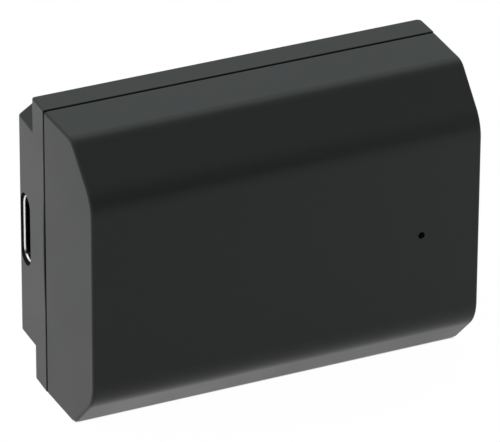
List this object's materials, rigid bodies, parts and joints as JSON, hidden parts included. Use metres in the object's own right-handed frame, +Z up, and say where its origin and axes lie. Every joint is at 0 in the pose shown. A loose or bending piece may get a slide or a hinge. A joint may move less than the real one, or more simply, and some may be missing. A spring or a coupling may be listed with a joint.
{
  "type": "camera battery",
  "caption": "Rechargeable camera battery: bevelled two-part plastic case with a stepped rear, a charging socket in one end and slotted contacts in the other.",
  "frame": {"origin": "middle of the outline, on the surface that the battery stands on", "axes": "+X along the length towards the camera contacts, +Y through the thickness towards the stepped rear, +Z up across the width"},
  "size_m": [0.0516, 0.0228, 0.0387],
  "materials": {
    "case_plastic": "fine spark-eroded matte",
    "socket_steel": "tin-plated, bright",
    "black_plastic": "smooth moulded",
    "gold_contact": "gold-plated",
    "clear_plastic": "clear, polished",
    "can_steel": "nickel-plated, drawn",
    "sleeve_film": "shrunk film",
    "nickel_strip": "rolled nickel",
    "insulating_paper": "vulcanised fibre",
    "tape_film": "double-sided tape",
    "foam_strip": "closed-cell foam",
    "board_laminate": "solder-masked laminate",
    "package_resin": "moulded resin",
    "coil_ferrite": "pressed powder",
    "chip_ceramic": "fired ceramic with plated ends",
    "lamp_resin": "cast resin",
    "flex_film": "polyimide film"
  },
  "bodies": {
    "root": {"front_shell": "case_plastic", "rear_cover": "case_plastic", "usb_shell": "socket_steel", "usb_tongue": "black_plastic", "usb_contacts": "gold_contact", "upper_cell": "can_steel", "lower_cell": "can_steel", "upper_sleeve": "sleeve_film", "lower_sleeve": "sleeve_film", "cap_washers": "insulating_paper", "series_link": "nickel_strip", "positive_tab": "nickel_strip", "negative_tab": "nickel_strip", "usb_end_insulator": "insulating_paper", "contact_end_insulators": "insulating_paper", "cell_tape": "tape_film", "board_foam": "foam_strip", "main_board": "board_laminate", "charge_ic": "package_resin", "protection_ic": "package_resin", "power_switches": "package_resin", "inductor": "coil_ferrite", "capacitors": "chip_ceramic", "resistors": "chip_ceramic", "thermistor": "chip_ceramic", "fuse": "chip_ceramic", "light_guide": "clear_plastic", "led": "lamp_resin", "led_flex": "flex_film", "terminal_block": "black_plastic", "positive_contact": "gold_contact", "negative_contact": "gold_contact", "signal_contacts": "gold_contact"}
  },
  "joints": []
}
